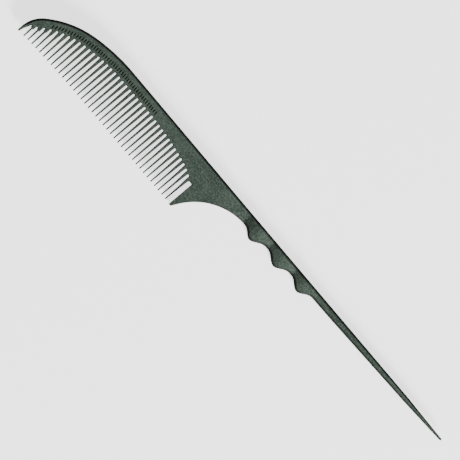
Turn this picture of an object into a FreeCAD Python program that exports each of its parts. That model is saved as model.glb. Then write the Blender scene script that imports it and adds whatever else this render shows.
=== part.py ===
import FreeCAD, Part
import math
import os

import Sketcher

# A rat tail comb, moulded in one piece. Its regions are separate solids that meet face to face:
# the spine, two end guards, a row of teeth, the finger grip and the pointed tail.
#
# Comb coordinates, in millimetres: x runs from the outermost point of the nose to the tip of the
# tail, y runs from the lowest tooth tip up to the back, and z runs from the flat underside up.
# Every body is placed so that the origin ends at the middle of the underside.

DRIVING_SIZES = [
    ("plate_thickness", 4.2),
    ("edge_round", 1.2),
    ("slot_edge_round", 0.35),
    # Row of teeth.
    ("tooth_count", 39),
    ("tooth_pitch", 2.272),
    ("first_tooth_from_nose", 3.44),
    ("back_above_tips", 22.8),
    ("nose_tip_drop", 1.12),
    ("dropped_teeth", 14),
    ("tooth_root_width", 1.34),
    ("tooth_knee_width", 0.8),
    ("tooth_knee_thickness", 2.3),
    ("tooth_knee_height", 6.8),
    ("tooth_tip_width", 0.6),
    ("tooth_tip_thickness", 1.3),
    ("tooth_tip_round", 0.2),
    ("tooth_lean", 0.35),
    ("leaning_teeth", 12),
    ("upright_share_at_nose", 0.6),
    # Slots between the teeth.
    ("slot_corner_round", 0.38),
    ("tooth_land_below_slots", 0.3),
    ("spine_depth", 5.4),
    ("first_slot_depth", 4.3),
    ("heel_slot_count", 15),
    ("heel_slot_drop", 3.9),
    ("last_slot_drop", 1.7),
    ("last_slot_width", 1.83),
    # Back edge, from the heel towards the nose.
    ("crown_rise", 0.24),
    ("crown_from_nose", 42.9),
    ("crown_arc_radius", 83.7),
    ("crown_arc_angle", 14.0),
    ("brow_arc_radius", 42.0),
    ("brow_arc_angle", 29.5),
    # End guards.
    ("guard_start_depth", 19.6),
    ("nose_guard_root_width", 1.95),
    ("nose_guard_tip_width", 0.88),
    ("nose_guard_tip_thickness", 1.6),
    ("heel_guard_start_depth", 14.4),
    ("heel_guard_tip_drop", 0.2),
    ("heel_guard_tip_round", 0.25),
    ("heel_slope_angle", 62.6),
    ("heel_arc_radius", 26.9),
    ("heel_arc_past_neck", 2.0),
    ("heel_edge_round", 0.5),
    # Finger grip: four necks with three waves between them.
    ("neck_1_from_heel", 24.6),
    ("wave_1_length", 14.6),
    ("wave_2_length", 14.0),
    ("wave_3_length", 13.4),
    ("neck_1_width", 5.25),
    ("neck_2_width", 4.55),
    ("neck_3_width", 4.1),
    ("neck_4_width", 3.6),
    ("wave_1_width", 7.75),
    ("wave_2_width", 7.25),
    ("wave_3_width", 6.75),
    ("crest_share", 0.475),
    ("wave_1_rise_power", 2.0),
    ("wave_2_rise_power", 1.2),
    ("wave_3_rise_power", 1.2),
    ("wave_fall_power", 1.5),
    ("bulge_power", 0.6),
    ("neck_thickness", 2.7),
    ("relief_length", 14.0),
    # Tail.
    ("tail_length", 75.9),
    ("tail_root_length", 9.6),
    ("tail_root_width", 3.5),
    ("tail_taper_length", 21.5),
    ("tail_taper_width", 2.4),
    ("tail_taper_thickness", 2.1),
    ("tail_tip_width", 0.95),
    ("tail_tip_thickness", 0.95),
    ("tail_tip_round", 0.35),
    ("tail_tip_below_back", 0.5),
    # Row of short engraved marks along the spine.
    ("mark_count", 47),
    ("mark_pitch", 1.15),
    ("first_mark_from_nose", 8.45),
    ("mark_below_back", 3.6),
    ("mark_length", 1.7),
    ("mark_width", 0.46),
    ("mark_depth", 0.35),
    ("mark_lean_angle", 8.0),
]

document = FreeCAD.newDocument("rat_tail_comb")
Vector = FreeCAD.Vector
ORIGIN_POINT = (-1, 1)
START, END, CENTRE = 1, 2, 3


def make_sheet(name, rows):
    """Writes aliased plain numbers into a spreadsheet."""
    sheet = document.addObject("Spreadsheet::Sheet", name)
    for row, (alias, value) in enumerate(rows, start=1):
        sheet.set(f"A{row}", alias)
        sheet.set(f"B{row}", repr(value))
        sheet.setAlias(f"B{row}", alias)
    document.recompute()
    return sheet


make_sheet("sizes", DRIVING_SIZES)


def size(alias):
    return float(document.sizes.get(alias))


TOOTH_COUNT = int(size("tooth_count"))
SLOT_COUNT = TOOTH_COUNT + 1
# Slack for comparing places in millimetres.
EPSILON = 1e-4
# Corner radius of a nearly round section, as a share of the side it rounds.
FULL_ROUND = 0.42
# The corner arcs of a narrow slot keep at least a tenth of its width flat between them.
WIDEST_SLOT_CORNER = 0.45
# A tooth turns from its root taper to its slim end at its knee, no higher than this share of it.
HIGHEST_KNEE = 0.5
# The nose guard's middle section: its level, and how much of the root's size it keeps.
GUARD_MIDDLE_LEVEL = 0.6
GUARD_MIDDLE_WIDTH = 0.35
GUARD_MIDDLE_THICKNESS = 0.5
# Sections of a wave of the grip, as shares of the way from a neck to the crest beside it.
WAVE_STATIONS = (0.15, 0.35, 0.68, 1)
# The blunt end of the tail, as a share of the section before it.
TAIL_END_SHARE = 0.55


# ---------------------------------------------------------------------------------------------
# Layout: the levels that follow the curved back edge, kept in a second sheet.
# ---------------------------------------------------------------------------------------------

def back_height(x):
    """Height of the back edge above the straight back line, which is negative near the nose."""
    crown_angle = math.radians(size("crown_arc_angle"))
    brow_angle = crown_angle + math.radians(size("brow_arc_angle"))
    crown_radius, brow_radius = size("crown_arc_radius"), size("brow_arc_radius")
    crown_x, crown_y = size("crown_from_nose"), size("crown_rise")
    if x >= crown_x:
        return crown_y * (neck_1_x() - x) / (neck_1_x() - crown_x)
    crown_end_x = crown_x - crown_radius * math.sin(crown_angle)
    crown_end_y = crown_y - crown_radius * (1 - math.cos(crown_angle))
    if x >= crown_end_x:
        return crown_y - crown_radius + math.sqrt(crown_radius**2 - (crown_x - x) ** 2)
    brow_x = crown_end_x + brow_radius * math.sin(crown_angle)
    brow_y = crown_end_y - brow_radius * math.cos(crown_angle)
    brow_end_x = brow_x - brow_radius * math.sin(brow_angle)
    if x >= brow_end_x:
        return brow_y + math.sqrt(brow_radius**2 - (brow_x - x) ** 2)
    tip_radius = brow_end_x / (1 - math.sin(brow_angle))
    brow_end_y = brow_y + brow_radius * math.cos(brow_angle)
    tip_centre_y = brow_end_y - tip_radius * math.cos(brow_angle)
    return tip_centre_y + math.sqrt(tip_radius**2 - (tip_radius - max(x, 0)) ** 2)


def slot_middle(slot):
    """Place along the comb of a slot, numbered from 1 at the nose."""
    return size("first_tooth_from_nose") + (slot - 1.5) * size("tooth_pitch")


def heel_x():
    """Inner face of the heel guard."""
    last_tooth = size("first_tooth_from_nose") + (TOOTH_COUNT - 1) * size("tooth_pitch")
    return last_tooth + size("tooth_root_width") / 2 + size("last_slot_width")


def neck_1_x():
    return heel_x() + size("neck_1_from_heel")


def slot_depth(slot):
    """How far the closed end of a slot lies below the back edge."""
    if slot == 1:
        return size("first_slot_depth")
    heel_share = max(0.0, 1 - (SLOT_COUNT - slot) / size("heel_slot_count"))
    heel_drop = size("heel_slot_drop") * heel_share**2 + size("last_slot_drop") * heel_share**12
    return size("spine_depth") + heel_drop


def lean_share(tooth):
    """The teeth near the nose lean, the very first ones less: 1 is the full lean, 0 is upright."""
    towards_heel = 2 * (1 - tooth / size("leaning_teeth"))
    towards_nose = 1 - size("upright_share_at_nose") + 0.2 * (tooth - 1)
    return max(0.0, min(1.0, towards_heel, towards_nose))


def tip_drop_share(tooth):
    """The teeth nearest the nose reach a little lower; the nose guard, tooth 0, the most."""
    return max(0.0, 1 - tooth / size("dropped_teeth")) ** 2


BACK_LINE = size("back_above_tips") + size("nose_tip_drop")
layout_rows = []
for slot in range(1, SLOT_COUNT + 1):
    top = BACK_LINE + back_height(slot_middle(slot)) - slot_depth(slot)
    layout_rows.append((f"slot_top_{slot:02d}", round(top, 4)))
for tooth in range(TOOTH_COUNT + 1):
    layout_rows.append((f"tip_drop_{tooth:02d}", round(tip_drop_share(tooth), 5)))
    layout_rows.append((f"lean_share_{tooth:02d}", round(lean_share(tooth), 5)))
make_sheet("layout", layout_rows)

# Expressions for places along the comb, built from the driving sizes.
X_HEEL = (
    f"(sizes.first_tooth_from_nose + {TOOTH_COUNT - 1} * sizes.tooth_pitch"
    " + sizes.tooth_root_width / 2 + sizes.last_slot_width)"
)
X_STEP = f"({X_HEEL} - sizes.last_slot_width / 2)"
X_NECK_1 = f"({X_HEEL} + sizes.neck_1_from_heel)"
X_NECK_2 = f"({X_NECK_1} + sizes.wave_1_length)"
X_NECK_3 = f"({X_NECK_2} + sizes.wave_2_length)"
X_NECK_4 = f"({X_NECK_3} + sizes.wave_3_length)"
X_TAIL_END = f"({X_NECK_4} + sizes.tail_length)"
Y_BACK = "(sizes.back_above_tips + sizes.nose_tip_drop)"
Y_GUARD_LAND = f"({Y_BACK} - sizes.guard_start_depth)"
Y_HEEL_LAND = f"({Y_BACK} - sizes.heel_guard_start_depth)"
Y_HEEL_CENTRE = (
    f"({Y_BACK} - sizes.neck_1_width"
    " - sqrt(sizes.heel_arc_radius^2 - sizes.heel_arc_past_neck^2))"
)
BROW_ANGLE = "(sizes.crown_arc_angle + sizes.brow_arc_angle)"
BROW_END_X = (
    "(sizes.crown_from_nose - sizes.crown_arc_radius * sin(sizes.crown_arc_angle)"
    f" - sizes.brow_arc_radius * (sin({BROW_ANGLE}) - sin(sizes.crown_arc_angle)))"
)
NOSE_RADIUS = f"({BROW_END_X} / (1 - sin({BROW_ANGLE})))"
Y_NOSE_CENTRE = (
    f"({Y_BACK} + sizes.crown_rise - sizes.crown_arc_radius * (1 - cos(sizes.crown_arc_angle))"
    f" - sizes.brow_arc_radius * (cos(sizes.crown_arc_angle) - cos({BROW_ANGLE}))"
    f" - {NOSE_RADIUS} * cos({BROW_ANGLE}))"
)


def tooth_root_x(tooth):
    """Middle of a tooth where it leaves the spine."""
    return (
        f"(sizes.first_tooth_from_nose + {tooth - 1} * sizes.tooth_pitch"
        f" - layout.lean_share_{tooth:02d} * sizes.tooth_lean)"
    )


def slot_left_x(slot):
    if slot == 1:
        return "(sizes.nose_guard_root_width)"
    return f"({tooth_root_x(slot - 1)} + sizes.tooth_root_width / 2)"


def slot_right_x(slot):
    if slot == SLOT_COUNT:
        return X_HEEL
    return f"({tooth_root_x(slot)} - sizes.tooth_root_width / 2)"


def slot_corner(slot):
    """Corner radius at the closed end of a slot, limited by the slot's width."""
    width = f"({slot_right_x(slot)} - {slot_left_x(slot)})"
    return f"min(sizes.slot_corner_round; {WIDEST_SLOT_CORNER} * {width})"


def tooth_land_y(tooth):
    """
    The level where a tooth starts: just below the round ends of the slots beside it, and never
    below the lower edge of the spine at the nose.
    """
    slots = f"min(layout.slot_top_{tooth:02d}; layout.slot_top_{tooth + 1:02d})"
    below_slots = f"{slots} - sizes.slot_corner_round - sizes.tooth_land_below_slots"
    return f"max({Y_GUARD_LAND}; {below_slots})"


def tooth_tip_y(tooth):
    return f"(sizes.nose_tip_drop * (1 - layout.tip_drop_{tooth:02d}))"


# ---------------------------------------------------------------------------------------------
# Helpers that build bodies, sketches and features bound to the sheets.
# ---------------------------------------------------------------------------------------------

def make_body(label):
    """A body whose placement puts the origin at the middle of the comb's underside."""
    body = document.addObject("PartDesign::Body", label)
    body.Label = label
    body.setExpression("Placement.Base.x", f"-{X_TAIL_END} / 2")
    body.setExpression("Placement.Base.y", f"-({Y_BACK} + sizes.crown_rise) / 2")
    return body


def make_sketch(body, name, role, offset=None):
    """A sketch on one of the body's origin planes, moved along the plane's normal."""
    plane = next(f for f in body.Origin.OriginFeatures if f.Role == role)
    sketch = body.newObject("Sketcher::SketchObject", name)
    sketch.AttachmentSupport = (plane, [""])
    sketch.MapMode = "FlatFace"
    if offset:
        sketch.setExpression("AttachmentOffset.Base.z", offset)
    return sketch


def value_of(expression):
    """The number that an expression gives now."""
    return float(document.sizes.evalExpression(expression))


def bind(sketch, kind, *target, expression):
    """Adds a dimension to a sketch and ties it to an expression."""
    index = sketch.addConstraint(Sketcher.Constraint(kind, *target, value_of(expression)))
    sketch.setExpression(f"Constraints[{index}]", expression)


def bind_angle(sketch, geometry, expression):
    """Ties the turn of an arc, or the direction of a line, to a number of degrees."""
    angle = math.radians(value_of(expression))
    index = sketch.addConstraint(Sketcher.Constraint("Angle", geometry, angle))
    sketch.setExpression(f"Constraints[{index}]", expression)


def pin_x(sketch, geometry, point, expression):
    bind(sketch, "DistanceX", *ORIGIN_POINT, geometry, point, expression=expression)


def pin_y(sketch, geometry, point, expression):
    bind(sketch, "DistanceY", *ORIGIN_POINT, geometry, point, expression=expression)


def join(sketch, kind, first, second):
    """Joins the end of one edge to the start of the next, with or without tangency."""
    sketch.addConstraint(Sketcher.Constraint(kind, first, END, second, START))


def add_line(sketch, start, end):
    return sketch.addGeometry(Part.LineSegment(Vector(*start), Vector(*end)), False)


def add_arc(sketch, centre, radius, start_degrees, end_degrees):
    circle = Part.Circle(Vector(*centre), Vector(0, 0, 1), radius)
    arc = Part.ArcOfCircle(circle, math.radians(start_degrees), math.radians(end_degrees))
    return sketch.addGeometry(arc, False)


def rounded_section(body, name, role, offset, box, rounds):
    """
    A rectangle with round corners. box holds the left, right, lower and upper sides, and rounds
    the corner radius at the left and at the right side.
    """
    sketch = make_sketch(body, name, role, offset)
    left, right, low, high = (value_of(side) for side in box)
    round_left, round_right = (value_of(radius) for radius in rounds)
    base = add_line(sketch, (left + round_left, low, 0), (right - round_right, low, 0))
    low_right = add_arc(sketch, (right - round_right, low + round_right, 0), round_right, 270, 360)
    side_right = add_line(sketch, (right, low + round_right, 0), (right, high - round_right, 0))
    high_right = add_arc(sketch, (right - round_right, high - round_right, 0), round_right, 0, 90)
    crest = add_line(sketch, (right - round_right, high, 0), (left + round_left, high, 0))
    high_left = add_arc(sketch, (left + round_left, high - round_left, 0), round_left, 90, 180)
    side_left = add_line(sketch, (left, high - round_left, 0), (left, low + round_left, 0))
    low_left = add_arc(sketch, (left + round_left, low + round_left, 0), round_left, 180, 270)
    # The arcs run anticlockwise, as the lines do, so each edge ends where the next starts.
    loop = (base, low_right, side_right, high_right, crest, high_left, side_left, low_left)
    for first, second in zip(loop, loop[1:] + loop[:1]):
        join(sketch, "Tangent", first, second)
    for edge in (base, crest):
        sketch.addConstraint(Sketcher.Constraint("Horizontal", edge))
    for edge in (side_right, side_left):
        sketch.addConstraint(Sketcher.Constraint("Vertical", edge))
    for corner, radius in ((low_left, 0), (high_left, 0), (low_right, 1), (high_right, 1)):
        bind(sketch, "Radius", corner, expression=rounds[radius])
    pin_x(sketch, side_left, START, box[0])
    pin_x(sketch, side_right, START, box[1])
    pin_y(sketch, base, START, box[2])
    pin_y(sketch, crest, START, box[3])
    return sketch


def make_loft(body, name, sections, straight=False):
    """Joins cross-sections with smooth sides, or with straight ones."""
    loft = body.newObject("PartDesign::AdditiveLoft", name)
    loft.Profile = sections[0]
    loft.Sections = sections[1:]
    loft.Ruled = straight
    for section in sections:
        section.Visibility = False
    return loft


def make_fillet(body, name, base, edges, radius):
    fillet = body.newObject("PartDesign::Fillet", name)
    fillet.Base = (base, edges)
    fillet.setExpression("Radius", radius)
    return fillet


def edge_names(shape, wanted):
    return [f"Edge{i}" for i, edge in enumerate(shape.Edges, start=1) if wanted(edge)]


# ---------------------------------------------------------------------------------------------
# Spine: the plate that carries the teeth, from the nose to the first neck.
# ---------------------------------------------------------------------------------------------

def draw_spine_outline(body):
    sketch = make_sketch(body, "spine_outline", "XY_Plane")
    back, land, heel_land = value_of(Y_BACK), value_of(Y_GUARD_LAND), value_of(Y_HEEL_LAND)
    neck_x, neck_width = value_of(X_NECK_1), size("neck_1_width")
    crown_x, crown_y = size("crown_from_nose"), back + size("crown_rise")
    crown_radius, brow_radius = size("crown_arc_radius"), size("brow_arc_radius")
    crown_turn = size("crown_arc_angle")
    brow_turn = crown_turn + size("brow_arc_angle")

    def around(centre, radius, degrees):
        angle = math.radians(degrees)
        return (centre[0] + radius * math.cos(angle), centre[1] + radius * math.sin(angle), 0)

    crown_centre = (crown_x, crown_y - crown_radius, 0)
    crown_end = around(crown_centre, crown_radius, 90 + crown_turn)
    brow_centre = around(crown_end, brow_radius, crown_turn - 90)
    brow_end = around(brow_centre, brow_radius, 90 + brow_turn)
    nose_radius = value_of(NOSE_RADIUS)
    nose_centre = around(brow_end, nose_radius, brow_turn - 90)
    nose_end_degrees = 180 + math.degrees(math.asin((nose_centre[1] - land) / nose_radius))
    nose_end = around(nose_centre, nose_radius, nose_end_degrees)
    step_x = value_of(X_STEP)
    heel_radius, past_neck = size("heel_arc_radius"), size("heel_arc_past_neck")
    heel_centre = (neck_x + past_neck, value_of(Y_HEEL_CENTRE), 0)
    neck_degrees = 90 + math.degrees(math.asin(past_neck / heel_radius))
    heel_degrees = 180 - math.degrees(math.asin((heel_land - heel_centre[1]) / heel_radius))
    heel_end = around(heel_centre, heel_radius, heel_degrees)

    back_line = add_line(sketch, (neck_x, back, 0), (crown_x, crown_y, 0))
    crown = add_arc(sketch, crown_centre, crown_radius, 90, 90 + crown_turn)
    brow = add_arc(sketch, brow_centre, brow_radius, 90 + crown_turn, 90 + brow_turn)
    nose = add_arc(sketch, nose_centre, nose_radius, 90 + brow_turn, nose_end_degrees)
    guard_line = add_line(sketch, nose_end, (step_x, land, 0))
    step = add_line(sketch, (step_x, land, 0), (step_x, heel_land, 0))
    heel_line = add_line(sketch, (step_x, heel_land, 0), heel_end)
    heel_arc = add_arc(sketch, heel_centre, heel_radius, neck_degrees, heel_degrees)
    neck_line = add_line(sketch, (neck_x, back - neck_width, 0), (neck_x, back, 0))

    join(sketch, "Tangent", crown, brow)
    join(sketch, "Tangent", brow, nose)
    for first, second in (
        (back_line, crown),
        (nose, guard_line),
        (guard_line, step),
        (step, heel_line),
        (neck_line, back_line),
    ):
        join(sketch, "Coincident", first, second)
    sketch.addConstraint(Sketcher.Constraint("Coincident", heel_line, END, heel_arc, END))
    sketch.addConstraint(Sketcher.Constraint("Coincident", heel_arc, START, neck_line, START))
    for edge in (guard_line, heel_line):
        sketch.addConstraint(Sketcher.Constraint("Horizontal", edge))
    for edge in (step, neck_line):
        sketch.addConstraint(Sketcher.Constraint("Vertical", edge))
    pin_x(sketch, neck_line, END, X_NECK_1)
    pin_y(sketch, neck_line, END, Y_BACK)
    pin_y(sketch, neck_line, START, f"{Y_BACK} - sizes.neck_1_width")
    pin_x(sketch, crown, START, "sizes.crown_from_nose")
    pin_y(sketch, crown, START, f"{Y_BACK} + sizes.crown_rise")
    pin_x(sketch, crown, CENTRE, "sizes.crown_from_nose")
    bind(sketch, "Radius", crown, expression="sizes.crown_arc_radius")
    bind_angle(sketch, crown, "sizes.crown_arc_angle")
    bind(sketch, "Radius", brow, expression="sizes.brow_arc_radius")
    bind_angle(sketch, brow, "sizes.brow_arc_angle")
    bind(sketch, "Radius", nose, expression=NOSE_RADIUS)
    pin_y(sketch, guard_line, START, Y_GUARD_LAND)
    pin_x(sketch, step, START, X_STEP)
    pin_y(sketch, heel_line, START, Y_HEEL_LAND)
    bind(sketch, "Radius", heel_arc, expression="sizes.heel_arc_radius")
    pin_x(sketch, heel_arc, CENTRE, f"{X_NECK_1} + sizes.heel_arc_past_neck")
    return sketch


def cut_relief(body, name, face, away):
    """Thins the plate towards the first neck with a long shallow arc on one face."""
    sketch = make_sketch(body, name, "XZ_Plane")
    relief_x = f"({X_NECK_1} - sizes.relief_length)"
    start_x, end_x = value_of(relief_x), value_of(X_NECK_1)
    depth = "(sizes.plate_thickness - sizes.neck_thickness) / 2"
    outside = away * size("plate_thickness")
    face_z, neck_z = value_of(face), value_of(face) - away * value_of(depth)
    length, drop = end_x - start_x, abs(face_z - neck_z)
    radius = (length**2 + drop**2) / (2 * drop)
    turn = math.degrees(math.asin(length / radius))
    degrees = (90 - turn, 90) if away > 0 else (270, 270 + turn)
    arc = add_arc(sketch, (start_x, face_z - away * radius, 0), radius, *degrees)
    near, far = (END, START) if away > 0 else (START, END)
    down = add_line(sketch, (end_x, neck_z, 0), (end_x, face_z + outside, 0))
    across = add_line(sketch, (end_x, face_z + outside, 0), (start_x, face_z + outside, 0))
    up = add_line(sketch, (start_x, face_z + outside, 0), (start_x, face_z, 0))
    sketch.addConstraint(Sketcher.Constraint("Coincident", arc, far, down, START))
    join(sketch, "Coincident", down, across)
    join(sketch, "Coincident", across, up)
    sketch.addConstraint(Sketcher.Constraint("Coincident", up, END, arc, near))
    for edge in (down, up):
        sketch.addConstraint(Sketcher.Constraint("Vertical", edge))
    sketch.addConstraint(Sketcher.Constraint("Horizontal", across))
    pin_x(sketch, arc, CENTRE, relief_x)
    pin_x(sketch, arc, near, relief_x)
    pin_y(sketch, arc, near, face)
    pin_x(sketch, arc, far, X_NECK_1)
    pin_y(sketch, arc, far, f"{face} - {away} * {depth}")
    pin_y(sketch, across, START, f"{face} + {away} * sizes.plate_thickness")
    pocket = body.newObject("PartDesign::Pocket", f"{name}_cut")
    pocket.Profile = sketch
    pocket.Type = "ThroughAll"
    return pocket


def cut_slot(body, slot):
    """Cuts one slot with a round end and clears the space below the tooth on its tail side."""
    sketch = make_sketch(body, f"slot_{slot:02d}_outline", "XY_Plane")
    left_x, right_x = slot_left_x(slot), slot_right_x(slot)
    top_y = f"layout.slot_top_{slot:02d}"
    last = slot == SLOT_COUNT
    land_y = Y_HEEL_LAND if last else tooth_land_y(slot)
    next_x = X_HEEL if last else slot_left_x(slot + 1)
    bottom_y = f"({Y_GUARD_LAND} - sizes.plate_thickness)"
    corner = value_of(slot_corner(slot))
    left, right, top = value_of(left_x), value_of(right_x), value_of(top_y)
    land, bottom, far = value_of(land_y), value_of(bottom_y), value_of(next_x)
    side_left = add_line(sketch, (left, bottom, 0), (left, top - corner, 0))
    arc_left = add_arc(sketch, (left + corner, top - corner, 0), corner, 90, 180)
    end_line = add_line(sketch, (left + corner, top, 0), (right - corner, top, 0))
    arc_right = add_arc(sketch, (right - corner, top - corner, 0), corner, 0, 90)
    loop = [(side_left, START, END), (arc_left, END, START)]
    loop += [(end_line, START, END), (arc_right, END, START)]
    side_end = bottom if last else land
    side_right = add_line(sketch, (right, top - corner, 0), (right, side_end, 0))
    loop.append((side_right, START, END))
    if not last:
        land_line = add_line(sketch, (right, land, 0), (far, land, 0))
        side_far = add_line(sketch, (far, land, 0), (far, bottom, 0))
        loop += [(land_line, START, END), (side_far, START, END)]
        sketch.addConstraint(Sketcher.Constraint("Horizontal", land_line))
        sketch.addConstraint(Sketcher.Constraint("Vertical", side_far))
        pin_y(sketch, land_line, START, land_y)
        pin_x(sketch, side_far, START, next_x)
    floor_line = add_line(sketch, (far, bottom, 0), (left, bottom, 0))
    loop.append((floor_line, START, END))
    for (first, _, first_end), (second, second_start, _) in zip(loop, loop[1:] + loop[:1]):
        round_joint = {first, second} & {arc_left, arc_right}
        kind = "Tangent" if round_joint else "Coincident"
        sketch.addConstraint(Sketcher.Constraint(kind, first, first_end, second, second_start))
    for edge in (side_left, side_right):
        sketch.addConstraint(Sketcher.Constraint("Vertical", edge))
    for edge in (end_line, floor_line):
        sketch.addConstraint(Sketcher.Constraint("Horizontal", edge))
    pin_x(sketch, side_left, START, left_x)
    pin_x(sketch, side_right, START, right_x)
    pin_y(sketch, end_line, START, top_y)
    pin_y(sketch, floor_line, START, bottom_y)
    for arc in (arc_left, arc_right):
        bind(sketch, "Radius", arc, expression=slot_corner(slot))
    pocket = body.newObject("PartDesign::Pocket", f"slot_{slot:02d}")
    pocket.Profile = sketch
    pocket.Type = "ThroughAll"
    pocket.Reversed = True
    return pocket


def engrave_marks(body):
    """Cuts the row of short leaning marks, which follows the back edge, into the top face."""
    sketch = make_sketch(body, "mark_outlines", "XY_Plane", "sizes.plate_thickness")
    lean = math.radians(size("mark_lean_angle"))
    along = Vector(math.sin(lean), -math.cos(lean), 0) * (size("mark_length") / 2)
    across = Vector(math.cos(lean), math.sin(lean), 0) * (size("mark_width") / 2)
    for mark in range(int(size("mark_count"))):
        x = size("first_mark_from_nose") + mark * size("mark_pitch")
        middle = Vector(x, BACK_LINE + back_height(x) - size("mark_below_back"), 0)
        corners = [
            middle - along - across,
            middle + along - across,
            middle + along + across,
            middle - along + across,
        ]
        for start, end in zip(corners, corners[1:] + corners[:1]):
            sketch.addGeometry(Part.LineSegment(start, end), False)
    pocket = body.newObject("PartDesign::Pocket", "marks")
    pocket.Profile = sketch
    pocket.setExpression("Length", "sizes.mark_depth")
    return pocket


def make_spine():
    body = make_body("spine")
    pad = body.newObject("PartDesign::Pad", "spine_plate")
    pad.Profile = draw_spine_outline(body)
    pad.setExpression("Length", "sizes.plate_thickness")
    cut_relief(body, "upper_relief", "sizes.plate_thickness", 1)
    relief = cut_relief(body, "lower_relief", "0", -1)
    document.recompute()

    neck, middle_z = value_of(X_NECK_1), size("plate_thickness") / 2
    half_back = value_of(Y_BACK) - size("neck_1_width") / 2
    land = value_of(Y_GUARD_LAND)

    def is_face_rim(edge):
        """An edge between one of the two flat faces and the outer wall."""
        box = edge.BoundBox
        along_rim = box.XLength > EPSILON
        at_neck = box.XMin > neck - EPSILON
        off_middle = abs(edge.CenterOfGravity.z - middle_z) > size("neck_thickness") / 4
        return along_rim and off_middle and not at_neck

    def is_back_edge(edge):
        box = edge.BoundBox
        near_back = box.YMin > half_back or box.XMin < size("crown_from_nose")
        on_land = box.YMax < land + EPSILON
        return is_face_rim(edge) and near_back and not on_land

    def is_heel_edge(edge):
        box = edge.BoundBox
        on_heel_arc = box.YMax < half_back and box.YLength > EPSILON
        return is_face_rim(edge) and on_heel_arc and box.XMin > value_of(X_STEP) + EPSILON

    back_edges = edge_names(relief.Shape, is_back_edge)
    rounded_back = make_fillet(body, "back_round", relief, back_edges, "sizes.edge_round")
    document.recompute()
    heel_edges = edge_names(rounded_back.Shape, is_heel_edge)
    make_fillet(body, "heel_round", rounded_back, heel_edges, "sizes.heel_edge_round")
    document.recompute()
    for slot in range(1, SLOT_COUNT + 1):
        cut_slot(body, slot)
    document.recompute()
    unmarked_volume = body.Shape.Volume
    engrave_marks(body)
    document.recompute()
    if body.Shape.Volume >= unmarked_volume:
        raise RuntimeError("the marks cut nothing")
    return body


# ---------------------------------------------------------------------------------------------
# Teeth and end guards: each hangs from a flat land on the spine and tapers to a round tip.
# ---------------------------------------------------------------------------------------------

PLATE = ("0", "sizes.plate_thickness")


def centred(thickness):
    """Lower and upper side of something centred in the thickness of the plate."""
    return (
        f"(sizes.plate_thickness - {thickness}) / 2",
        f"(sizes.plate_thickness + {thickness}) / 2",
    )


def about(middle, width):
    return (f"{middle} - {width} / 2", f"{middle} + {width} / 2")


def make_tooth(tooth):
    body = make_body(f"tooth_{tooth:02d}")
    tip_x = f"(sizes.first_tooth_from_nose + {tooth - 1} * sizes.tooth_pitch)"
    root_x = tooth_root_x(tooth)
    land_y, tip_y = tooth_land_y(tooth), tooth_tip_y(tooth)
    knee_rise = f"min(sizes.tooth_knee_height; {HIGHEST_KNEE} * ({land_y} - {tip_y}))"
    knee_x = f"({tip_x} + ({root_x} - {tip_x}) * {knee_rise} / ({land_y} - {tip_y}))"
    stations = (
        ("root", root_x, land_y, "sizes.tooth_root_width", PLATE, "sizes.slot_edge_round"),
        (
            "knee",
            knee_x,
            f"{tip_y} + {knee_rise}",
            "sizes.tooth_knee_width",
            centred("sizes.tooth_knee_thickness"),
            f"{FULL_ROUND} * sizes.tooth_knee_width",
        ),
        (
            "tip",
            tip_x,
            tip_y,
            "sizes.tooth_tip_width",
            centred("sizes.tooth_tip_thickness"),
            f"{FULL_ROUND} * sizes.tooth_tip_width",
        ),
    )
    sections = []
    for name, middle, level, width, heights, corner in stations:
        box = (*about(middle, width), *heights)
        rounds = (corner, corner)
        sketch_name = f"tooth_{tooth:02d}_{name}"
        sections.append(rounded_section(body, sketch_name, "XZ_Plane", f"-({level})", box, rounds))
    loft = make_loft(body, f"tooth_{tooth:02d}_loft", sections)
    document.recompute()
    round_tip(body, loft)


def round_tip(body, base):
    """Rounds the edge of the face at the free end of a tooth or guard."""
    end = min(base.Shape.Faces, key=lambda face: face.CenterOfGravity.y)
    rim = edge_names(base.Shape, lambda edge: any(edge.isSame(other) for other in end.Edges))
    return make_fillet(body, f"{body.Label}_tip_round", base, rim, "sizes.tooth_tip_round")


def make_nose_guard():
    body = make_body("nose_guard")
    depth = f"({Y_GUARD_LAND} - {Y_NOSE_CENTRE})"
    root_left = f"({NOSE_RADIUS} - sqrt({NOSE_RADIUS}^2 - {depth}^2))"
    middle_y = f"({Y_GUARD_LAND} * {GUARD_MIDDLE_LEVEL})"
    middle_right = (
        f"({GUARD_MIDDLE_WIDTH} * sizes.nose_guard_root_width"
        f" + {1 - GUARD_MIDDLE_WIDTH} * sizes.nose_guard_tip_width)"
    )
    middle_thickness = (
        f"({GUARD_MIDDLE_THICKNESS} * sizes.plate_thickness"
        f" + {1 - GUARD_MIDDLE_THICKNESS} * sizes.nose_guard_tip_thickness)"
    )
    tip_round = f"{FULL_ROUND} * sizes.nose_guard_tip_width"
    tip_thickness = "sizes.nose_guard_tip_thickness"
    stations = (
        (
            Y_GUARD_LAND,
            (root_left, "sizes.nose_guard_root_width", *PLATE),
            ("sizes.edge_round", "sizes.slot_edge_round"),
        ),
        (
            middle_y,
            ("0", middle_right, *centred(middle_thickness)),
            ("sizes.edge_round / 2", "sizes.slot_edge_round"),
        ),
        (
            "0",
            ("0", "sizes.nose_guard_tip_width", *centred(tip_thickness)),
            (tip_round, tip_round),
        ),
    )
    sections = [
        rounded_section(body, f"nose_guard_{name}", "XZ_Plane", f"-({level})", box, rounds)
        for name, (level, box, rounds) in zip(("root", "middle", "tip"), stations)
    ]
    loft = make_loft(body, "nose_guard_loft", sections)
    document.recompute()
    round_tip(body, loft)


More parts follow.
